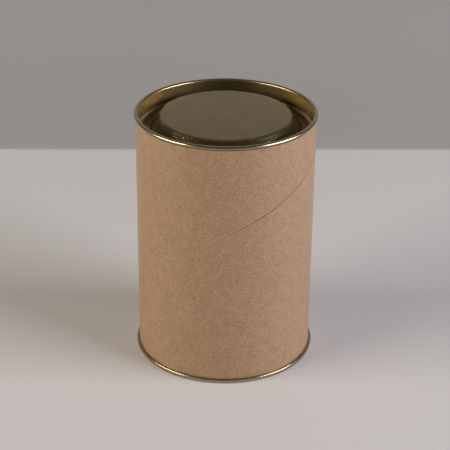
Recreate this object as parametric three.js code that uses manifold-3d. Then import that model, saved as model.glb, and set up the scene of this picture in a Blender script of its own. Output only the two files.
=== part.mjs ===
// A round cardboard canister: a spiral-wound kraft tube, a tin bottom seamed on to its foot,
// and a tin plug lid whose curled rim rests on the tube's top edge.
// Millimetres, +Z up, the origin in the middle of the foot.
import * as THREE from 'three';
import { mergeVertices } from 'three/addons/utils/BufferGeometryUtils.js';
import Module from 'manifold-3d';

// The tube
const TUBE_DIAMETER = 90;         // over the outer paper
const TUBE_LENGTH = 127.7;        // from its cut foot to its cut top edge
const TUBE_WALL = 0.9;
const FLARE_REACH = 0.75;         // how far the foot is spread outwards inside the bottom end's fold
const FLARE_SLOPE = 0.8;          // height over which it spreads

// The outer paper is a strip wound at a slant, and its edges meet in a fine joint
const PLY_WIDTH = 120;            // width of the strip, square to its edges
const JOINT_WIDTH = 0.7;          // at the surface
const JOINT_DEPTH = 0.3;
const JOINT_FRONT_HEIGHT = 83.3;  // where the joint passes the front (-Y)

// Sheet and fits
const TIN = 0.3;                  // thickness of the lid and of the bottom end
const FIT_GAP = 0.3;              // between tin and paper, on every face

// The lid, pressed from one disc: panel, cone, trough, plug wall and rim
const RIM_OVERHANG = 0.7;         // how far the rim stands out past the tube
const RIM_HEIGHT = 1.9;           // of the flattened curl
const RIM_TUCK = 0.55;            // open slit between the curl's cut edge and the plug wall
const PLUG_DEPTH = 9.4;           // from the rim's top to the trough's upper face
const TROUGH_WIDTH = 5.8;         // between the plug wall and the foot of the cone
const CONE_RUN = 5.4;             // how far the cone slopes inwards on its way up
const PANEL_DROP = 1.9;           // from the rim's top to the panel's upper face
const TROUGH_BEND = 1.5;          // bend radii are those of the sheet's middle
const CONE_BEND = 1.2;
const PANEL_BEND = 1.1;

// The bottom end: panel, groove, chuck wall and the fold round the tube's foot
const SEAM_HEIGHT = 2.3;          // of the band folded round the foot
const END_DEPTH = 4.4;            // from the foot to the groove's crest, lower face
const END_PANEL_DROP = 1.6;       // from the crest down to the panel
const GROOVE_WIDTH = 2.7;         // between the chuck wall and the panel's slope
const GROOVE_SLOPE = 0.9;         // how far the panel's edge slopes
const GROOVE_BEND = 0.8;
const FOOT_BEND = 0.6;
const HOOK_BEND = 0.4;

// Facets
const ROUND_STEPS = 60;           // round the axis
const BEND_STEP = THREE.MathUtils.degToRad(30);
const JOINT_SIDES = 8;            // of the round tool that cuts the paper's joint

// Derived sizes
const tubeRadius = TUBE_DIAMETER / 2;
const boreRadius = tubeRadius - TUBE_WALL;
const footHeight = TIN + FIT_GAP;
const tubeTop = footHeight + TUBE_LENGTH;
const plugRadius = boreRadius - FIT_GAP - TIN / 2;
const rimTop = tubeTop + FIT_GAP + RIM_HEIGHT;
const flareTop = SEAM_HEIGHT - TIN - FIT_GAP;

/**
 * Middle of a bent sheet: straight runs joined by round bends.
 * Each corner is [radius, height, bend radius]; the first and the last have no bend.
 * A bend takes up no more than half of the runs beside it, or all of a run at the sheet's end.
 * The result is a list of stations, each a point and the heading there.
 */
function bentLine(corners) {
  const points = corners.map(([radius, height]) => new THREE.Vector2(radius, height));
  const room = (from, to) => {
    const atEnd = from === 0 || to === points.length - 1;
    return points[from].distanceTo(points[to]) / (atEnd ? 1 : 2);
  };
  const first = points[0];
  const stations = [{ point: first, heading: points[1].clone().sub(first).normalize() }];
  for (let i = 1; i < points.length - 1; i += 1) {
    const corner = points[i];
    const into = corner.clone().sub(points[i - 1]).normalize();
    const out = points[i + 1].clone().sub(corner).normalize();
    const turn = Math.atan2(into.cross(out), into.dot(out));
    const reach = Math.tan(Math.abs(turn) / 2);
    const bend = Math.min(corners[i][2], room(i - 1, i) / reach, room(i, i + 1) / reach);
    const start = corner.clone().addScaledVector(into, -bend * reach);
    const side = Math.sign(turn);
    const centre = start.clone().add(new THREE.Vector2(-into.y, into.x).multiplyScalar(side * bend));
    const steps = Math.max(1, Math.round(Math.abs(turn) / BEND_STEP));
    for (let step = 0; step <= steps; step += 1) {
      const angle = turn * step / steps;
      const point = start.clone().rotateAround(centre, angle);
      const heading = into.clone().rotateAround(new THREE.Vector2(), angle);
      stations.push({ point, heading });
    }
  }
  const last = points[points.length - 1];
  stations.push({ point: last, heading: last.clone().sub(points[points.length - 2]).normalize() });
  return stations;
}

/** Closed outline of a sheet: out along its right-hand face, back along its left-hand face. */
function sheetOutline(corners, thickness) {
  const stations = bentLine(corners);
  const face = (offset) => stations.map(({ point, heading }) => (
    new THREE.Vector2(point.x - heading.y * offset, point.y + heading.x * offset)
  ));
  return [...face(-thickness / 2), ...face(thickness / 2).reverse()];
}

/** Turns an outline of (radius, height) points about the axis. */
function turned(outline) {
  const geometry = new THREE.LatheGeometry(outline, ROUND_STEPS);
  geometry.rotateX(Math.PI / 2);
  return geometry;
}

/** The lid: a pressed disc with a plug that fits the tube's bore and a curl that rests on its edge. */
function lidGeometry() {
  const rimOuter = tubeRadius + RIM_OVERHANG - TIN / 2;
  const curlTop = rimTop - TIN / 2;
  const curlFoot = tubeTop + FIT_GAP + TIN / 2;
  const curlBend = (curlTop - curlFoot) / 2;
  const troughHeight = rimTop - PLUG_DEPTH - TIN / 2;
  const panelHeight = rimTop - PANEL_DROP - TIN / 2;
  const coneFoot = plugRadius - TROUGH_WIDTH;
  const panelRadius = coneFoot - CONE_RUN;
  return turned(sheetOutline([
    [0, panelHeight],
    [panelRadius, panelHeight, PANEL_BEND],
    [coneFoot, troughHeight, CONE_BEND],
    [plugRadius, troughHeight, TROUGH_BEND],
    [plugRadius, curlTop, curlBend],
    [rimOuter, curlTop, curlBend],
    [rimOuter, curlFoot, curlBend],
    [plugRadius + TIN / 2 + RIM_TUCK, curlFoot],
  ], TIN));
}

/** The bottom end: a recessed panel, and a channel folded round the tube's flared foot. */
function endGeometry() {
  const crest = END_DEPTH + TIN / 2;
  const panelHeight = crest - END_PANEL_DROP;
  const grooveRadius = plugRadius - GROOVE_WIDTH;
  const skirtRadius = tubeRadius + FLARE_REACH + FIT_GAP + TIN / 2;
  const hookHeight = SEAM_HEIGHT - TIN / 2;
  const foldHeight = TIN / 2;
  return turned(sheetOutline([
    [0, panelHeight],
    [grooveRadius - GROOVE_SLOPE, panelHeight, GROOVE_BEND],
    [grooveRadius, crest, GROOVE_BEND],
    [plugRadius, crest, GROOVE_BEND],
    [plugRadius, foldHeight, FOOT_BEND],
    [skirtRadius, foldHeight, FOOT_BEND],
    [skirtRadius, hookHeight, HOOK_BEND],
    [tubeRadius + FIT_GAP, hookHeight],
  ], TIN));
}

/** The line along which the strip's edges meet: a helix that rises to the right. */
class WindingLine extends THREE.Curve {
  constructor(radius, pitch, low, high) {
    super();
    Object.assign(this, { radius, pitch, low, high });
  }

  getPoint(share, target = new THREE.Vector3()) {
    const height = THREE.MathUtils.lerp(this.low, this.high, share);
    const angle = (height - JOINT_FRONT_HEIGHT) / this.pitch * 2 * Math.PI;
    return target.set(this.radius * Math.sin(angle), -this.radius * Math.cos(angle), height);
  }
}

/** The tool that cuts the joint: a round bar along the winding line, sunk to the joint's depth. */
function jointTool() {
  const girth = Math.PI * TUBE_DIAMETER;
  const pitch = girth * Math.tan(Math.asin(PLY_WIDTH / girth));
  const toolRadius = (JOINT_WIDTH ** 2 / 4 + JOINT_DEPTH ** 2) / (2 * JOINT_DEPTH);
  const high = tubeTop + 2 * JOINT_WIDTH;
  const line = new WindingLine(tubeRadius - JOINT_DEPTH + toolRadius, pitch, flareTop, high);
  const section = new THREE.Shape();
  section.absarc(0, 0, toolRadius, 0, 2 * Math.PI);
  return new THREE.ExtrudeGeometry(section, {
    steps: Math.ceil((high - flareTop) / pitch * ROUND_STEPS),
    curveSegments: JOINT_SIDES,
    extrudePath: line,
    bevelEnabled: false,
  });
}

/** The tube's plain wall, with its foot spread outwards by the seaming. */
function wallGeometry() {
  const flareFoot = flareTop - FLARE_SLOPE;
  const outline = [
    [boreRadius + FLARE_REACH, footHeight],
    [tubeRadius + FLARE_REACH, footHeight],
    [tubeRadius + FLARE_REACH, flareFoot],
    [tubeRadius, flareTop],
    [tubeRadius, tubeTop],
    [boreRadius, tubeTop],
    [boreRadius, flareTop],
    [boreRadius + FLARE_REACH, flareFoot],
    [boreRadius + FLARE_REACH, footHeight],
  ];
  return turned(outline.map(([radius, height]) => new THREE.Vector2(radius, height)));
}

const wasm = await Module();
wasm.setup();

/** A closed geometry as a manifold solid. */
function solidOf(geometry) {
  const bare = geometry.clone();
  bare.deleteAttribute('normal');
  bare.deleteAttribute('uv');
  const welded = mergeVertices(bare);
  return new wasm.Manifold(new wasm.Mesh({
    numProp: 3,
    vertProperties: new Float32Array(welded.attributes.position.array),
    triVerts: new Uint32Array(welded.index.array),
  }));
}

/** A manifold solid as a geometry. */
function geometryOf(solid) {
  const mesh = solid.getMesh();
  const geometry = new THREE.BufferGeometry();
  geometry.setAttribute('position', new THREE.BufferAttribute(mesh.vertProperties, 3));
  geometry.setIndex(new THREE.BufferAttribute(mesh.triVerts, 1));
  geometry.computeVertexNormals();
  return geometry;
}

/** The tube: a wound paper wall with the joint of its outer strip. */
function tubeGeometry() {
  return geometryOf(solidOf(wallGeometry()).subtract(solidOf(jointTool())));
}

const kraftPaper = new THREE.MeshStandardMaterial({ color: 0x9b7b61, roughness: 0.85, metalness: 0 });
const goldLacquer = new THREE.MeshStandardMaterial({ color: 0x8a7a55, roughness: 0.35, metalness: 0.9 });

/** One named piece. */
function piece(name, geometry, material) {
  const mesh = new THREE.Mesh(geometry, material.clone());
  mesh.name = name;
  return mesh;
}

const canister = new THREE.Group();
canister.add(piece('paper_tube', tubeGeometry(), kraftPaper));
canister.add(piece('bottom_end', endGeometry(), goldLacquer));
canister.add(piece('plug_lid', lidGeometry(), goldLacquer));

export default canister;
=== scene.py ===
# %% [markdown]
# # A cardboard canister with tin ends
#
# The object is a composite can, as loose tea or coffee is sold in: a tube wound from kraft paper, a tin
# bottom folded on to its foot, and a tin lid pressed with a deep plug that slides into the tube's bore.
#
# The solid model gives the sizes, and this lesson makes the looks. Each of the three pieces is drawn
# again, finer and rounder, and then gets its finish: matt brown paper with its fibres, and tin under a
# thin coat of gold lacquer.

# %% Load the frame and keep its box
from math import asin, atan2, cos, pi, radians, sin, tan

import bpy
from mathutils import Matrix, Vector


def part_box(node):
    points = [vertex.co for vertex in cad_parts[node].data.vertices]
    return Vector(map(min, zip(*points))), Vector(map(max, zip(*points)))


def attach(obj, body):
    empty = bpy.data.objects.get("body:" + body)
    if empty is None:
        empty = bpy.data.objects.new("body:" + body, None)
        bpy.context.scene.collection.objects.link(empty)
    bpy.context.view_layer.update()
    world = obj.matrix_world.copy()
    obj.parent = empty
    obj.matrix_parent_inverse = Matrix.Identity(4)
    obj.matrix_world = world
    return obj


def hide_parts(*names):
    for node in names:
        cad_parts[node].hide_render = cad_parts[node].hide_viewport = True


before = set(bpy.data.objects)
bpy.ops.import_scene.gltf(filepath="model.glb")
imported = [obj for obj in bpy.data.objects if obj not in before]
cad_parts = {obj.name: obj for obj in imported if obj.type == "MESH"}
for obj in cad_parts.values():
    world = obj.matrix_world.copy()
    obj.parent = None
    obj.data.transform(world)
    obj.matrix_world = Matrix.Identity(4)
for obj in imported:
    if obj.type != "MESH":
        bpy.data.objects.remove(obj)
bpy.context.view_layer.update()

bpy.ops.object.select_all(action="DESELECT")

# %% [markdown]
# ## Sizes
#
# Blender works in metres, and the part's sizes are a few millimetres, so one constant turns the one into
# the other. The overall sizes come from the boxes of the solid pieces. What no box tells, such as the
# thickness of the tin, is written here.

# %% Read the main sizes
MM = 0.001
TIN = 0.3 * MM
WALL = 0.9 * MM
FIT_GAP = 0.3 * MM

tube_low, tube_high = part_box("paper_tube")
lid_low, lid_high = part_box("plug_lid")
end_low, end_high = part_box("bottom_end")

FLARE_REACH = 0.75 * MM
tube_radius = tube_high.x - FLARE_REACH
bore_radius = tube_radius - WALL
plug_radius = bore_radius - FIT_GAP - TIN / 2
print(f"tube {tube_radius * 2 / MM:.1f} mm across, {(tube_high.z - tube_low.z) / MM:.1f} mm long")

# %% [markdown]
# ## How bent sheet is drawn
#
# The lid and the bottom are each pressed from one flat disc of tin. Seen in section, the sheet is a line
# that runs straight and turns through round bends, so the line is drawn as a bending machine would make
# it: a straight run is one extrusion of the last point, and a bend is a spin of that point about the
# centre of the bend. A second spin, once round the canister's axis, turns the line into the sheet's
# middle surface, and Solidify gives it the thickness of the tin.
#
# A lathe-like Screw modifier could turn the line too. Spin is used because it leaves a plain mesh whose
# point on the axis can be merged at once, so the panel has no hole in its middle.

# %% Draw a line of straight runs and round bends
BEND_STEP = radians(10)


def start_line(name, radius, height):
    """A new mesh with one loose point at that radius and height, open in edit mode."""
    bpy.ops.object.select_all(action="DESELECT")
    bpy.ops.mesh.primitive_plane_add(size=TIN, location=(0, 0, 0))
    piece = bpy.context.object
    piece.name = name
    piece.data.name = name
    bpy.ops.object.mode_set(mode="EDIT")
    bpy.ops.mesh.select_all(action="SELECT")
    bpy.ops.mesh.merge(type="CENTER")
    bpy.ops.mesh.select_all(action="SELECT")
    bpy.ops.transform.translate(value=(radius, 0, height))
    return piece


def run_and_bend(start, run_end, turn, centre):
    """Extrudes the last point straight to run_end, then spins it round the bend's centre."""
    step = run_end - start
    bpy.ops.mesh.extrude_vertices_move(TRANSFORM_OT_translate={"value": (step.x, 0, step.y)})
    if turn:
        steps = max(2, round(abs(turn) / BEND_STEP))
        bpy.ops.mesh.spin(steps=steps, angle=turn, center=(centre.x, 0, centre.y), axis=(0, 1, 0))


def draw_sheet_line(name, corners):
    """Draws the sheet's middle from corners of (radius, height, bend radius)."""
    points = [Vector(corner[:2]) for corner in corners]
    piece = start_line(name, *points[0])
    here = points[0]
    for i in range(1, len(points) - 1):
        into = (points[i] - points[i - 1]).normalized()
        out = (points[i + 1] - points[i]).normalized()
        turn = atan2(into.x * out.y - into.y * out.x, into.dot(out))
        bend = corners[i][2]
        reach = bend * tan(abs(turn) / 2)
        side = 1 if turn > 0 else -1
        bend_start = points[i] - into * reach
        centre = bend_start + Vector((-into.y, into.x)) * side * bend
        run_and_bend(here, bend_start, turn, centre)
        here = points[i] + out * reach
    run_and_bend(here, points[-1], 0, None)
    return piece


# %% Turn the line round the axis and give it the sheet's thickness
ROUND_STEPS = 240
WELD = 0.001 * MM                 # points closer than this are merged
SHEET_CREASE = radians(35)        # a sharper turn than this stays an edge


def apply_modifier(piece, kind, **settings):
    """Adds one modifier, sets it and applies it."""
    bpy.ops.object.select_all(action="DESELECT")
    piece.select_set(True)
    bpy.context.view_layer.objects.active = piece
    modifier = piece.modifiers.new(kind.title(), kind)
    for name, value in settings.items():
        setattr(modifier, name, value)
    bpy.ops.object.modifier_apply(modifier=modifier.name)


def turn_and_thicken(piece):
    """Spins the open line once round the axis, and makes it a sheet of tin."""
    bpy.ops.mesh.select_all(action="SELECT")
    bpy.ops.mesh.spin(steps=ROUND_STEPS, angle=2 * pi, center=(0, 0, 0), axis=(0, 0, 1))
    bpy.ops.mesh.select_all(action="SELECT")
    bpy.ops.mesh.remove_doubles(threshold=WELD)
    bpy.ops.mesh.normals_make_consistent(inside=False)
    bpy.ops.object.mode_set(mode="OBJECT")
    apply_modifier(piece, "SOLIDIFY", thickness=TIN, offset=0, use_even_offset=True)
    bpy.ops.object.shade_smooth_by_angle(angle=SHEET_CREASE)
    low = min(vertex.co.z for vertex in piece.data.vertices)
    high = max(vertex.co.z for vertex in piece.data.vertices)
    print(f"{piece.name}: {len(piece.data.polygons)} faces, from {low / MM:.2f} to {high / MM:.2f} mm")


# %% [markdown]
# ## The lid
#
# On the real lid the middle is a raised round panel, nearly as high as the rim. A cone falls from it to a
# trough, a straight plug wall rises along the tube's bore, and the edge is curled outwards over the
# tube's cut top. The curl is a little flattened, wider than it is high, and its cut edge stays hidden
# inside. A curl could be faked by a plain ring, but then the dark slit under it and the way in which
# light runs from the wall over the rim would be wrong, so the sheet is drawn all the way round.

# %% Work out the lid's section
RIM_HEIGHT = 1.9 * MM
RIM_TUCK = 0.55 * MM
TROUGH_WIDTH = 5.8 * MM
CONE_RUN = 5.4 * MM
PANEL_DROP = 1.9 * MM
TROUGH_BEND = 1.5 * MM
CONE_BEND = 1.2 * MM
PANEL_BEND = 1.1 * MM

rim_outer = lid_high.x - TIN / 2
curl_top = lid_high.z - TIN / 2
curl_foot = lid_high.z - RIM_HEIGHT + TIN / 2
curl_bend = (curl_top - curl_foot) / 2
trough_height = lid_low.z + TIN / 2
panel_height = lid_high.z - PANEL_DROP - TIN / 2
cone_foot = plug_radius - TROUGH_WIDTH
panel_radius = cone_foot - CONE_RUN
print(f"lid panel {panel_radius * 2 / MM:.1f} mm across before its bend")

# %% Draw the lid
lid = draw_sheet_line("tin_lid", [
    (0, panel_height),
    (panel_radius, panel_height, PANEL_BEND),
    (cone_foot, trough_height, CONE_BEND),
    (plug_radius, trough_height, TROUGH_BEND),
    (plug_radius, curl_top, curl_bend),
    (rim_outer, curl_top, curl_bend),
    (rim_outer, curl_foot, curl_bend),
    (plug_radius + TIN / 2 + RIM_TUCK, curl_foot),
])
turn_and_thicken(lid)

# %% [markdown]
# ## The bottom
#
# The bottom is a second pressed disc. Its panel is recessed so that the canister stands on the fold, a
# groove stiffens it, and the sheet then goes down the bore, under the cardboard's foot and up outside,
# where its edge turns in over the spread cardboard. Only the outer band shows from the front, but the
# whole sheet is drawn, because the underside shows when the canister is tipped.

# %% Work out the bottom's section
END_PANEL_DROP = 1.6 * MM
GROOVE_WIDTH = 2.7 * MM
GROOVE_SLOPE = 0.9 * MM
GROOVE_BEND = 0.8 * MM
FOOT_BEND = 0.6 * MM
HOOK_BEND = 0.4 * MM
SEAM_HEIGHT = 2.3 * MM

crest = end_high.z - TIN / 2
end_panel = crest - END_PANEL_DROP
groove_radius = plug_radius - GROOVE_WIDTH
skirt_radius = end_high.x - TIN / 2
fold_height = end_low.z + TIN / 2
hook_height = end_low.z + SEAM_HEIGHT - TIN / 2
print(f"band {SEAM_HEIGHT / MM:.1f} mm high and {(skirt_radius * 2 + TIN) / MM:.1f} mm across")

# %% Draw the bottom
bottom = draw_sheet_line("tin_bottom", [
    (0, end_panel),
    (groove_radius - GROOVE_SLOPE, end_panel, GROOVE_BEND),
    (groove_radius, crest, GROOVE_BEND),
    (plug_radius, crest, GROOVE_BEND),
    (plug_radius, fold_height, FOOT_BEND),
    (skirt_radius, fold_height, FOOT_BEND),
    (skirt_radius, hook_height, HOOK_BEND),
    (tube_radius + FIT_GAP, hook_height),
])
turn_and_thicken(bottom)

# %% [markdown]
# ## The tube
#
# The tube is wound from paper strips laid at a slant round a mandrel. The plies are glued into one wall,
# but the edges of the outer strip meet in a fine joint that climbs round the tube like the thread of a
# very steep screw. Its slant follows from the strip's width and the tube's girth.
#
# The joint could be cut along a helix, but it is easier to make the wall straight, with an upright joint,
# and then to wring it with a Twist. Every column of faces then lies along the paper strip, as the fibres
# do on the real tube.

# %% Work out the winding
PLY_WIDTH = 120 * MM
JOINT_FRONT_HEIGHT = 83.3 * MM

girth = 2 * pi * tube_radius
slant = asin(PLY_WIDTH / girth)
pitch = girth * tan(slant)
joint_start = -pi / 2 - 2 * pi * JOINT_FRONT_HEIGHT / pitch
print(f"the joint climbs {pitch / MM:.0f} mm a turn, at {slant * 180 / pi:.0f} degrees")

# %% Make the straight wall
COLUMNS = 240
ROWS = 110
FLARE_SLOPE = 0.8 * MM

flare_top = end_low.z + SEAM_HEIGHT - TIN - FIT_GAP
flare_foot = flare_top - FLARE_SLOPE
wall_height = tube_high.z - flare_top

bpy.ops.object.select_all(action="DESELECT")
bpy.ops.mesh.primitive_cylinder_add(
    vertices=COLUMNS, radius=tube_radius, depth=wall_height, end_fill_type="NOTHING",
    location=(0, 0, flare_top + wall_height / 2), rotation=(0, 0, joint_start - pi / 2))
tube = bpy.context.object
tube.name = "kraft_tube"
tube.data.name = tube.name
bpy.ops.object.transform_apply(location=True, rotation=True, scale=True)
print(f"{tube.name}: {wall_height / MM:.1f} mm of straight wall")

# %% Cut the wall into rows and spread its foot
NEAR = 0.01 * MM                  # points closer than this count as being in one place


def select_where(piece, chosen, mode="VERT"):
    """In edit mode, selects the vertices or edges whose ends all pass the test."""
    bpy.ops.mesh.select_mode(type=mode)
    bpy.ops.mesh.select_all(action="DESELECT")
    bpy.ops.object.mode_set(mode="OBJECT")
    passed = [chosen(vertex.co) for vertex in piece.data.vertices]
    if mode == "VERT":
        for vertex in piece.data.vertices:
            vertex.select = passed[vertex.index]
    else:
        for edge in piece.data.edges:
            edge.select = all(passed[index] for index in edge.vertices)
    bpy.ops.object.mode_set(mode="EDIT")


# Only the upright edges are cut, so that the faces become nearly square.
bpy.ops.object.mode_set(mode="EDIT")
bpy.ops.mesh.select_all(action="SELECT")
bpy.ops.mesh.select_mode(type="EDGE")
bpy.ops.object.mode_set(mode="OBJECT")
for edge in tube.data.edges:
    ends = [tube.data.vertices[index].co.z for index in edge.vertices]
    edge.select = abs(ends[0] - ends[1]) > wall_height / 2
for face in tube.data.polygons:
    face.select = False
bpy.ops.object.mode_set(mode="EDIT")
bpy.ops.mesh.subdivide(number_cuts=ROWS - 1)

select_where(tube, lambda point: point.z < flare_top + NEAR)
spread = (tube_radius + FLARE_REACH) / tube_radius
bpy.ops.mesh.extrude_region_move(TRANSFORM_OT_translate={"value": (0, 0, -FLARE_SLOPE)})
bpy.ops.transform.resize(value=(spread, spread, 1), center_override=(0, 0, 0))
bpy.ops.mesh.extrude_region_move(TRANSFORM_OT_translate={"value": (0, 0, tube_low.z - flare_foot)})
bpy.ops.object.mode_set(mode="OBJECT")
apply_modifier(tube, "SOLIDIFY", thickness=WALL, offset=-1, use_even_offset=True)
print(f"{tube.name}: {len(tube.data.polygons)} faces in the straight wall")

# %% [markdown]
# The joint is one upright line of edges. A bevel splits it into a narrow band, and a Displace modifier,
# held by painted weights, sinks the middle of that band, while its edges stay where they are. On this
# tube the joint gapes on the right of the front and closes towards the left, so the weights fade there.

# %% Find the joint
JOINT_WIDTH = 0.6 * MM
JOINT_DEPTH = 0.28 * MM
JOINT_LINES = 4                   # faces across the joint
CLOSED_BELOW = 78 * MM
OPEN_ABOVE = 95 * MM
CLOSED_SHARE = 0.1                # how far it gapes where it is closed
JOINT_EDGE = 0.95                 # share of the half width within which points are sunk


def joint_offset(point):
    """How far the point lies from the joint, measured round the outside of the straight wall."""
    turn = (atan2(point.y, point.x) - joint_start + pi) % (2 * pi) - pi
    return turn * tube_radius


def is_outside(point):
    """Whether a point lies on the wall's outer face, not on its inner one."""
    return point.xy.length > tube_radius - WALL / 2


def on_joint(point):
    """Whether a point of the straight wall lies on the joint's line."""
    return is_outside(point) and abs(joint_offset(point)) < NEAR and point.z > flare_top - NEAR


def joint_opening(height):
    """How far the joint gapes at that height, from 0 to 1."""
    share = min(1, max(0, (height - CLOSED_BELOW) / (OPEN_ABOVE - CLOSED_BELOW)))
    return CLOSED_SHARE + (1 - CLOSED_SHARE) * share * share * (3 - 2 * share)


print(f"at the front the joint gapes by {joint_opening(JOINT_FRONT_HEIGHT) * 100:.0f} percent")

# %% Open the joint
bpy.ops.object.mode_set(mode="EDIT")
select_where(tube, on_joint, "EDGE")
bpy.ops.mesh.bevel(offset=JOINT_WIDTH / 2, segments=JOINT_LINES, affect="EDGES")
bpy.ops.object.mode_set(mode="OBJECT")

sunk = tube.vertex_groups.new(name="joint")
sunk_points = 0
for vertex in tube.data.vertices:
    across = joint_offset(vertex.co) / (JOINT_WIDTH / 2)
    if is_outside(vertex.co) and abs(across) < JOINT_EDGE:
        sunk_points += 1
        sunk.add([vertex.index], (1 - across ** 2) * joint_opening(vertex.co.z), "REPLACE")
apply_modifier(tube, "DISPLACE", strength=-JOINT_DEPTH, mid_level=0, vertex_group="joint")
print(sunk_points, "points sunk")

# %% [markdown]
# Before the wall is wrung, its paper is laid flat in a UV map: one axis runs across the strip and the
# other along it, both in metres. The map starts and ends at the joint, where the real strip does, so the
# pattern of fibres breaks there and nowhere else.

# %% Lay the paper out flat
def strip_share(point):
    """How far round from the joint the point lies, from 0 to 1."""
    return (atan2(point.y, point.x) - joint_start) / (2 * pi) % 1


paper = tube.data.uv_layers.active or tube.data.uv_layers.new()
paper.name = "paper"
for face in tube.data.polygons:
    middle = strip_share(face.center)
    for index in face.loop_indices:
        point = tube.data.vertices[tube.data.loops[index].vertex_index].co
        share = strip_share(point)
        share += round(middle - share)
        along = share * girth * cos(slant) + point.z / sin(slant)
        paper.data[index].uv = (share * PLY_WIDTH, along)
print(len(paper.data), "corners laid out")

# %% [markdown]
# The Twist turns each height in proportion to it, so straight upright lines become helices of the
# winding's slant. The map of the paper stays with the faces and follows them round.

# %% Wring the wall
PAPER_CREASE = radians(25)
tube_height = tube_high.z - tube_low.z

apply_modifier(tube, "SIMPLE_DEFORM", deform_method="TWIST", deform_axis="Z",
               angle=2 * pi * tube_height / pitch)
bpy.ops.object.shade_smooth_by_angle(angle=PAPER_CREASE)
print(f"{tube.name}: wrung by {tube_height / pitch * 360:.0f} degrees")

# %% [markdown]
# ## Writing finishes as sums
#
# A finish is a set of nodes, and wiring them by hand is slow to read. The small class below wraps one
# output of a node, so that a sum such as 1 - mask adds its Math nodes by itself. Every other node comes
# from one method that takes the node's type, its settings, and the values or wires of its inputs.

# %% A wire that can be added and multiplied
class Wire:
    """One output of a node. A sum of wires and numbers adds Math nodes."""

    def __init__(self, finish, socket):
        self.finish = finish
        self.socket = socket

    def maths(self, operation, first, second):
        """The result of one Math node."""
        return self.finish.node("ShaderNodeMath", {"operation": operation}, {0: first, 1: second})

    def __add__(self, other):
        return self.maths("ADD", self, other)

    __radd__ = __add__

    def __sub__(self, other):
        return self.maths("SUBTRACT", self, other)

    def __rsub__(self, other):
        return self.maths("SUBTRACT", other, self)

    def __mul__(self, other):
        return self.maths("MULTIPLY", self, other)

    __rmul__ = __mul__

    def least(self, other):
        """The smaller of two values."""
        return self.maths("MINIMUM", self, other)

    def most(self, other):
        """The larger of two values."""
        return self.maths("MAXIMUM", self, other)


# %% A finish made of wires
class Finish:
    """A material, and the nodes that make it."""

    def __init__(self, name):
        self.material = bpy.data.materials.new(name)
        self.material.use_nodes = True
        self.tree = self.material.node_tree
        self.tree.nodes.clear()

    def node(self, kind, settings, inputs, output=0):
        """Adds a node, sets it, and feeds its inputs with wires or plain values."""
        new = self.tree.nodes.new(kind)
        for name, value in settings.items():
            setattr(new, name, value)
        for name, value in inputs.items():
            if isinstance(value, Wire):
                self.tree.links.new(value.socket, new.inputs[name])
            else:
                new.inputs[name].default_value = value
        return Wire(self, new.outputs[output]) if new.outputs else None

    def place(self):
        """The point on the piece, in metres."""
        return self.node("ShaderNodeTexCoord", {}, {}, "Object")

    def grain(self, vector, scale, detail=2):
        """Soft noise from 0 to 1, with features about 1 / scale metres across."""
        inputs = {"Vector": vector, "Scale": scale, "Detail": detail}
        return self.node("ShaderNodeTexNoise", {}, inputs)

    def ramp(self, value, low, high):
        """0 below low, 1 above high, and a smooth step between."""
        inputs = {"Value": value, "From Min": low, "From Max": high}
        return self.node("ShaderNodeMapRange", {"interpolation_type": "SMOOTHSTEP"}, inputs)

    def stretch(self, vector, scale):
        """The vector with each of its parts multiplied."""
        return self.node("ShaderNodeVectorMath", {"operation": "MULTIPLY"}, {0: vector, 1: scale})

    def part(self, vector, name):
        """The X, Y or Z of a vector."""
        return self.node("ShaderNodeSeparateXYZ", {}, {0: vector}, name)

    def from_axis(self, point):
        """How far a point is from the canister's axis, in metres."""
        flattened = self.stretch(point, (1, 1, 0))
        return self.node("ShaderNodeVectorMath", {"operation": "LENGTH"}, {0: flattened}, "Value")

    def mix(self, share, first, second):
        """A colour between two."""
        return self.node("ShaderNodeMix", {"data_type": "RGBA"}, {0: share, 6: first, 7: second}, 2)

    def bump(self, height, distance):
        """A normal bent as if the surface stood up by height times distance."""
        return self.node("ShaderNodeBump", {}, {"Height": height, "Distance": distance})

    def finish(self, **inputs):
        """The surface shader itself. Its sockets are named with _ in place of spaces."""
        named = {name.replace("_", " "): value for name, value in inputs.items()}
        shader = self.node("ShaderNodeBsdfPrincipled", {}, named)
        self.node("ShaderNodeOutputMaterial", {}, {"Surface": shader})


# %% Colours as a screen writes them
def colour(red, green, blue):
    """A colour as a screen writes it, 0 to 255, in the linear numbers that shaders use."""
    def linear(value):
        value /= 255
        return value / 12.92 if value <= 0.04045 else ((value + 0.055) / 1.055) ** 2.4

    return (linear(red), linear(green), linear(blue), 1)


# %% [markdown]
# ## Kraft paper
#
# Kraft paper is brown because its pulp isn't bleached. Seen close, it is a felt of fibres: most are of
# nearly one brown, a few are dark or pale, and they lie along the strip because the paper machine drew
# them that way. Broad clouds show where the pulp was thicker. The surface is matt with a fine tooth.
#
# The fibres and flecks are drawn on the flat paper, so they follow the strip round the tube. The clouds
# have no direction and are drawn in the tube's own space, where they can't break at the joint.

# %% Draw the fibres
KRAFT = colour(152, 119, 89)
KRAFT_CLOUD = colour(143, 111, 81)
KRAFT_DARK = colour(98, 62, 28)
KRAFT_PALE = colour(200, 180, 160)
CLOUD_SCALE, CLOUD_DETAIL, CLOUD_RANGE = 260, 4, (0.35, 0.65)
TOOTH_SCALE, TOOTH_RANGE, TOOTH_SHARE = 1300, (0.5, 0.8), 0.4
FIBRE_STRETCH, FIBRE_RANGE, FIBRE_SHARE = (1700, 600, 1), (0.48, 0.75), 0.55
FLECK_STRETCH = (1100, 420, 1)
DARK_RANGE, DARK_SHARE = (0.66, 0.74), 0.75
PALE_RANGE, PALE_SHARE = (0.7, 0.8), 0.4

kraft = Finish("kraft_paper")
flat = kraft.node("ShaderNodeUVMap", {"uv_map": "paper"}, {})
point = kraft.place()

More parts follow.
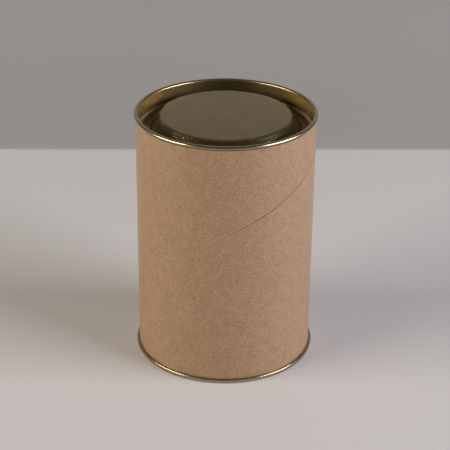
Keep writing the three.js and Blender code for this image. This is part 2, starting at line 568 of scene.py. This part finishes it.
cloud = kraft.ramp(kraft.grain(point, CLOUD_SCALE, CLOUD_DETAIL), *CLOUD_RANGE)
tooth = kraft.grain(flat, TOOTH_SCALE)
fibre = kraft.grain(kraft.stretch(flat, FIBRE_STRETCH), 1)
fleck = kraft.grain(kraft.stretch(flat, FLECK_STRETCH), 1, 1)

body = kraft.mix(cloud, KRAFT, KRAFT_CLOUD)
body = kraft.mix(kraft.ramp(fibre, *FIBRE_RANGE) * FIBRE_SHARE, body, KRAFT_DARK)
body = kraft.mix(kraft.ramp(tooth, *TOOTH_RANGE) * TOOTH_SHARE, body, KRAFT_PALE)
body = kraft.mix(kraft.ramp(fleck, *DARK_RANGE) * DARK_SHARE, body, KRAFT_DARK)
body = kraft.mix(kraft.ramp(1 - fleck, *PALE_RANGE) * PALE_SHARE, body, KRAFT_PALE)
print("paper so far:", len(kraft.tree.nodes), "nodes")

# %% [markdown]
# Where the strip's edges meet, the finish helps the shape with painted light. Along the closed part of
# the joint the strip's edge gets a painted highlight, a pale lip, and where the joint gapes its bottom
# gets painted shade.

# %% Draw the joint's edges
JOINT_SHADE = colour(84, 52, 30)
LIP_START, LIP_FULL = 0.9 * MM, 0.3 * MM
LIP_LOWEST, LIP_WHOLE = CLOSED_BELOW - 2 * MM, CLOSED_BELOW + 6 * MM
LIP_SHARE, LIP_FADE = 0.28, 0.2
LINE_FULL, LINE_END = 0.1 * MM, 0.3 * MM
SHUT_SHARE, GAPE_SHARE = 0.08, 0.65

across = kraft.part(flat, "X")
to_edge = across.least(PLY_WIDTH - across)
height = kraft.part(point, "Z")
gape = kraft.ramp(height, CLOSED_BELOW, OPEN_ABOVE)

# A painted highlight: a pale lip along the strip's edge where the joint is closed.
lip_highlight = kraft.ramp(across, PLY_WIDTH - LIP_START, PLY_WIDTH - LIP_FULL)
lip_highlight = lip_highlight * kraft.ramp(height, LIP_LOWEST, LIP_WHOLE) * (LIP_SHARE - LIP_FADE * gape)
body = kraft.mix(lip_highlight, body, KRAFT_PALE)
# Painted shade: a dark line where the joint gapes.
line = (1 - kraft.ramp(to_edge, LINE_FULL, LINE_END)) * (SHUT_SHARE + GAPE_SHARE * gape)
body = kraft.mix(line, body, JOINT_SHADE)
print("with the joint:", len(kraft.tree.nodes), "nodes")

# %% [markdown]
# The cut edge at the top, which shows when the lid is off, is the grey-brown board of the plies, in thin
# rings round the axis with darker glue between them.

# %% Draw the cut edge and make the paper's finish
PLY_EDGE = colour(150, 124, 98)
PLY_GLUE = colour(116, 92, 70)
PLY_THICKNESS = 0.3 * MM
RING_SHARE = 0.35
CUT_START, CUT_FULL = tube_high.z - 0.04 * MM, tube_high.z - 0.01 * MM
PAPER_ROUGHNESS, TOOTH_ROUGHNESS = 0.32, 0.12
PAPER_RELIEF = 0.035 * MM

wave = kraft.from_axis(point) * (2 * pi / PLY_THICKNESS)
rings = kraft.node("ShaderNodeMath", {"operation": "SINE"}, {0: wave})
ply = kraft.mix(rings * RING_SHARE + RING_SHARE, PLY_EDGE, PLY_GLUE)

kraft.finish(
    Base_Color=kraft.mix(kraft.ramp(height, CUT_START, CUT_FULL), body, ply),
    Roughness=PAPER_ROUGHNESS + TOOTH_ROUGHNESS * tooth,
    Normal=kraft.bump((fibre + tooth) * 0.5, PAPER_RELIEF),
    Specular_IOR_Level=0.8,
)
print("kraft finish:", len(kraft.tree.nodes), "nodes")

# %% [markdown]
# ## Gold-lacquered tin
#
# The ends are tinplate, steel with a skin of tin, under a clear yellow lacquer. It looks like a dull,
# greenish gold: bright along the edges where a lamp is mirrored, and nearly black where the studio is
# dark. The steel was rolled, so its surface has a fine grain that breaks a reflection into specks.

# %% Draw the lacquer and the sheet's grain
GOLD = colour(146, 130, 95)
GOLD_WORN = colour(138, 121, 86)
WORN_SCALE, WORN_RANGE, WORN_SHARE = 120, (0.4, 0.65), 0.6
ROLLED_STRETCH, ROLLED_SCALE = (1, 2.5, 1), 900
SPECK_SCALE = 1000

tin = Finish("gold_tin")
point = tin.place()
rolled = tin.grain(tin.stretch(point, ROLLED_STRETCH), ROLLED_SCALE)
specks = tin.grain(point, SPECK_SCALE, 1)
worn = tin.ramp(tin.grain(point, WORN_SCALE), *WORN_RANGE)
gold = tin.mix(worn * WORN_SHARE, GOLD, GOLD_WORN)
print("tin so far:", len(tin.tree.nodes), "nodes")

# %% [markdown]
# The rollers that curl and fold the sheet's edges rub them smooth, so the edges shine more, and their
# colour is painted paler as well: a painted sheen, so that their highlights look silvery.
# On the lid's cone the press stretched the sheet, and there its grain stands out and
# sparkles.

# %% Burnish the edges, paint their sheen paler, roughen the cone and make the tin's finish
# A pale gold for the edges: a painted sheen.
GOLD_SHEEN = colour(178, 170, 150)
EDGE_START, EDGE_FULL = bore_radius - 0.2 * MM, bore_radius + 0.4 * MM
CONE_BLEND = 1 * MM
EDGE_SHEEN = 0.4
TIN_ROUGHNESS, ROUGHNESS_SPREAD = 0.26, 0.1
LACQUER, EDGE_LACQUER = 0.2, 0.4
GRAIN_SHARE, SPECK_SHARE = 0.2, 0.7
TIN_RELIEF = 0.12 * MM

from_axis = tin.from_axis(point)
edge = tin.ramp(from_axis, EDGE_START, EDGE_FULL)
past_panel = tin.ramp(from_axis, panel_radius, panel_radius + CONE_BLEND)
past_cone = tin.ramp(from_axis, cone_foot - CONE_BLEND, cone_foot + CONE_BLEND)
stretched = past_panel * (1 - past_cone)

tin.finish(
    # The edges are mixed towards the pale gold, a painted sheen that makes their highlights silvery.
    Base_Color=tin.mix(edge * EDGE_SHEEN, gold, GOLD_SHEEN),
    Metallic=1.0,
    Roughness=TIN_ROUGHNESS + ROUGHNESS_SPREAD * (rolled - edge - stretched),
    Coat_Weight=LACQUER + EDGE_LACQUER * edge,
    Coat_Roughness=0.2,
    Normal=tin.bump(rolled * GRAIN_SHARE + specks * (GRAIN_SHARE + SPECK_SHARE * stretched), TIN_RELIEF),
)
print("tin finish:", len(tin.tree.nodes), "nodes")

# %% [markdown]
# ## Putting the pieces on their bodies
#
# Each piece stands for one solid piece and rides on the body that carries it: the tube and the bottom on
# the can, the lid on its own body, which lifts.

# %% Dress the frame
def dress(piece, node, body, material):
    """Lets a piece stand for a solid one, ride on its body and wear its finish."""
    piece.data.materials.clear()
    piece.data.materials.append(material)
    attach(piece, body)
    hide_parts(node)
    print(piece.name, "rides on", body)


dress(tube, "paper_tube", "can", kraft.material)
dress(bottom, "bottom_end", "can", tin.material)
dress(lid, "plug_lid", "lid", tin.material)

# %% [markdown]
# ## The studio
#
# The canister stands on a plain pale table. Two large soft lamps, one on each side, light it evenly: the
# paper is brightest at its flanks and a little darker in the middle, and each tin rim shows a pair of
# long highlights. The room behind the camera is dark, and that is what the cone of the lid mirrors.
#
# Far behind the canister the floor's tone changes to that of a wall, along a line that is turned a
# little, because it is level in the photograph although the camera is turned.

# %% Lay the floor
TABLE = colour(212, 208, 212)
WALL_LOW = colour(172, 168, 170)
WALL_HIGH = colour(186, 182, 185)
TABLE_EDGE, WALL_TOP = 0.25, 0.6
EDGE_SOFTNESS = 0.003
EDGE_TURN = -0.02
FLOOR_SIZE = 8
TABLE_ROUGHNESS, ROUGHNESS_GRAIN, GRAIN_SCALE = 0.6, 0.1, 60

table = Finish("table")
point = table.place()
away = table.part(point, "Y") + EDGE_TURN * table.part(point, "X")
past_edge = table.ramp(away, TABLE_EDGE - EDGE_SOFTNESS, TABLE_EDGE + EDGE_SOFTNESS)
wall = table.mix(table.ramp(away, TABLE_EDGE, WALL_TOP), WALL_LOW, WALL_HIGH)
table.finish(
    Base_Color=table.mix(past_edge, TABLE, wall),
    Roughness=TABLE_ROUGHNESS + ROUGHNESS_GRAIN * table.grain(point, GRAIN_SCALE),
    Specular_IOR_Level=0.1,
)

bpy.ops.object.select_all(action="DESELECT")
bpy.ops.mesh.primitive_plane_add(size=FLOOR_SIZE, location=(0, 0, 0))
floor = bpy.context.object
floor.name = "floor"
floor.data.materials.append(table.material)
print("floor:", FLOOR_SIZE, "m across")

# %% Hang the lamps
LAMP_BEARING = radians(70)
LAMP_RISE = radians(18)
LAMP_DISTANCE = 2.0
LAMP_SIZE = (1.5, 0.55)
LAMP_AIM = Vector((0, 0, 0.07))


def soft_lamp(name, side, power, tint):
    """A wide softbox to the left (-1) or right (1) of the camera, aimed at the canister."""
    direction = Vector((side * sin(LAMP_BEARING) * cos(LAMP_RISE),
                        -cos(LAMP_BEARING) * cos(LAMP_RISE), sin(LAMP_RISE)))
    bpy.ops.object.light_add(type="AREA", location=LAMP_AIM + direction * LAMP_DISTANCE)
    lamp = bpy.context.object
    lamp.name = name
    lamp.rotation_euler = direction.to_track_quat("Z", "Y").to_euler()
    lamp.data.shape = "RECTANGLE"
    lamp.data.size, lamp.data.size_y = LAMP_SIZE
    lamp.data.energy = power
    lamp.data.color = tint
    print(f"{name}: {power} W")


soft_lamp("left_softbox", -1, 39.5, (1, 0.94, 0.76))
soft_lamp("right_softbox", 1, 49, (0.97, 0.98, 1))

# %% [markdown]
# The room is part of what the tin mirrors: dark before the canister, and a little lighter behind it, low
# down and straight overhead.

# %% Set the room
ROOM_DARK = (0.05, 0.05, 0.05, 1)
ROOM_LIT = (0.35, 0.322, 0.294, 1)
BEHIND_RANGE = (0.45, 0.85)
LOW_RANGE, LOW_SHARE = (0.2, 0.45), 0.25
TOP_RANGE, TOP_SHARE = (0.82, 0.97), 0.6


class Room(Finish):
    """The world's own nodes, written in the same way as a finish."""

    def __init__(self, tree):
        self.tree = tree


world = bpy.data.worlds.new("room")
bpy.context.scene.world = world
world.use_nodes = True
world.node_tree.nodes.clear()

room = Room(world.node_tree)
direction = room.node("ShaderNodeTexCoord", {}, {}, "Generated")
upward = room.part(direction, "Z")
behind = room.ramp(room.part(direction, "Y"), *BEHIND_RANGE)
low = (1 - room.ramp(upward, *LOW_RANGE)) * LOW_SHARE
top = room.ramp(upward, *TOP_RANGE) * TOP_SHARE
shade = room.mix(behind.most(low.most(top)), ROOM_DARK, ROOM_LIT)
light = room.node("ShaderNodeBackground", {}, {"Color": shade, "Strength": 1.0})
room.node("ShaderNodeOutputWorld", {}, {"Surface": light})
print("room:", len(room.tree.nodes), "nodes")

# %% [markdown]
# ## The camera
#
# The camera looks down by about 27 degrees, from two thirds of a metre away, through a long lens, and it
# is turned by half a degree, as in the photograph.

# %% Place the camera
LENS = 115.7
CAMERA_DISTANCE = 0.6664
CAMERA_HEIGHT = 0.4016
LOOK_DOWN = radians(26.66)
ROLL = radians(0.52)
SENSOR_WIDTH = 36

bpy.ops.object.camera_add(location=(0, -CAMERA_DISTANCE, CAMERA_HEIGHT))
camera = bpy.context.object
camera.rotation_euler = (pi / 2 - LOOK_DOWN, 0, 0)
camera.rotation_euler.rotate_axis("Z", ROLL)
camera.data.lens = LENS
camera.data.sensor_width = SENSOR_WIDTH
bpy.context.scene.camera = camera
bpy.context.scene.view_settings.view_transform = "Standard"
print(f"camera: {LENS} mm lens, {CAMERA_HEIGHT} m above the table")

# %% Bring the scene up to date
bpy.context.view_layer.update()
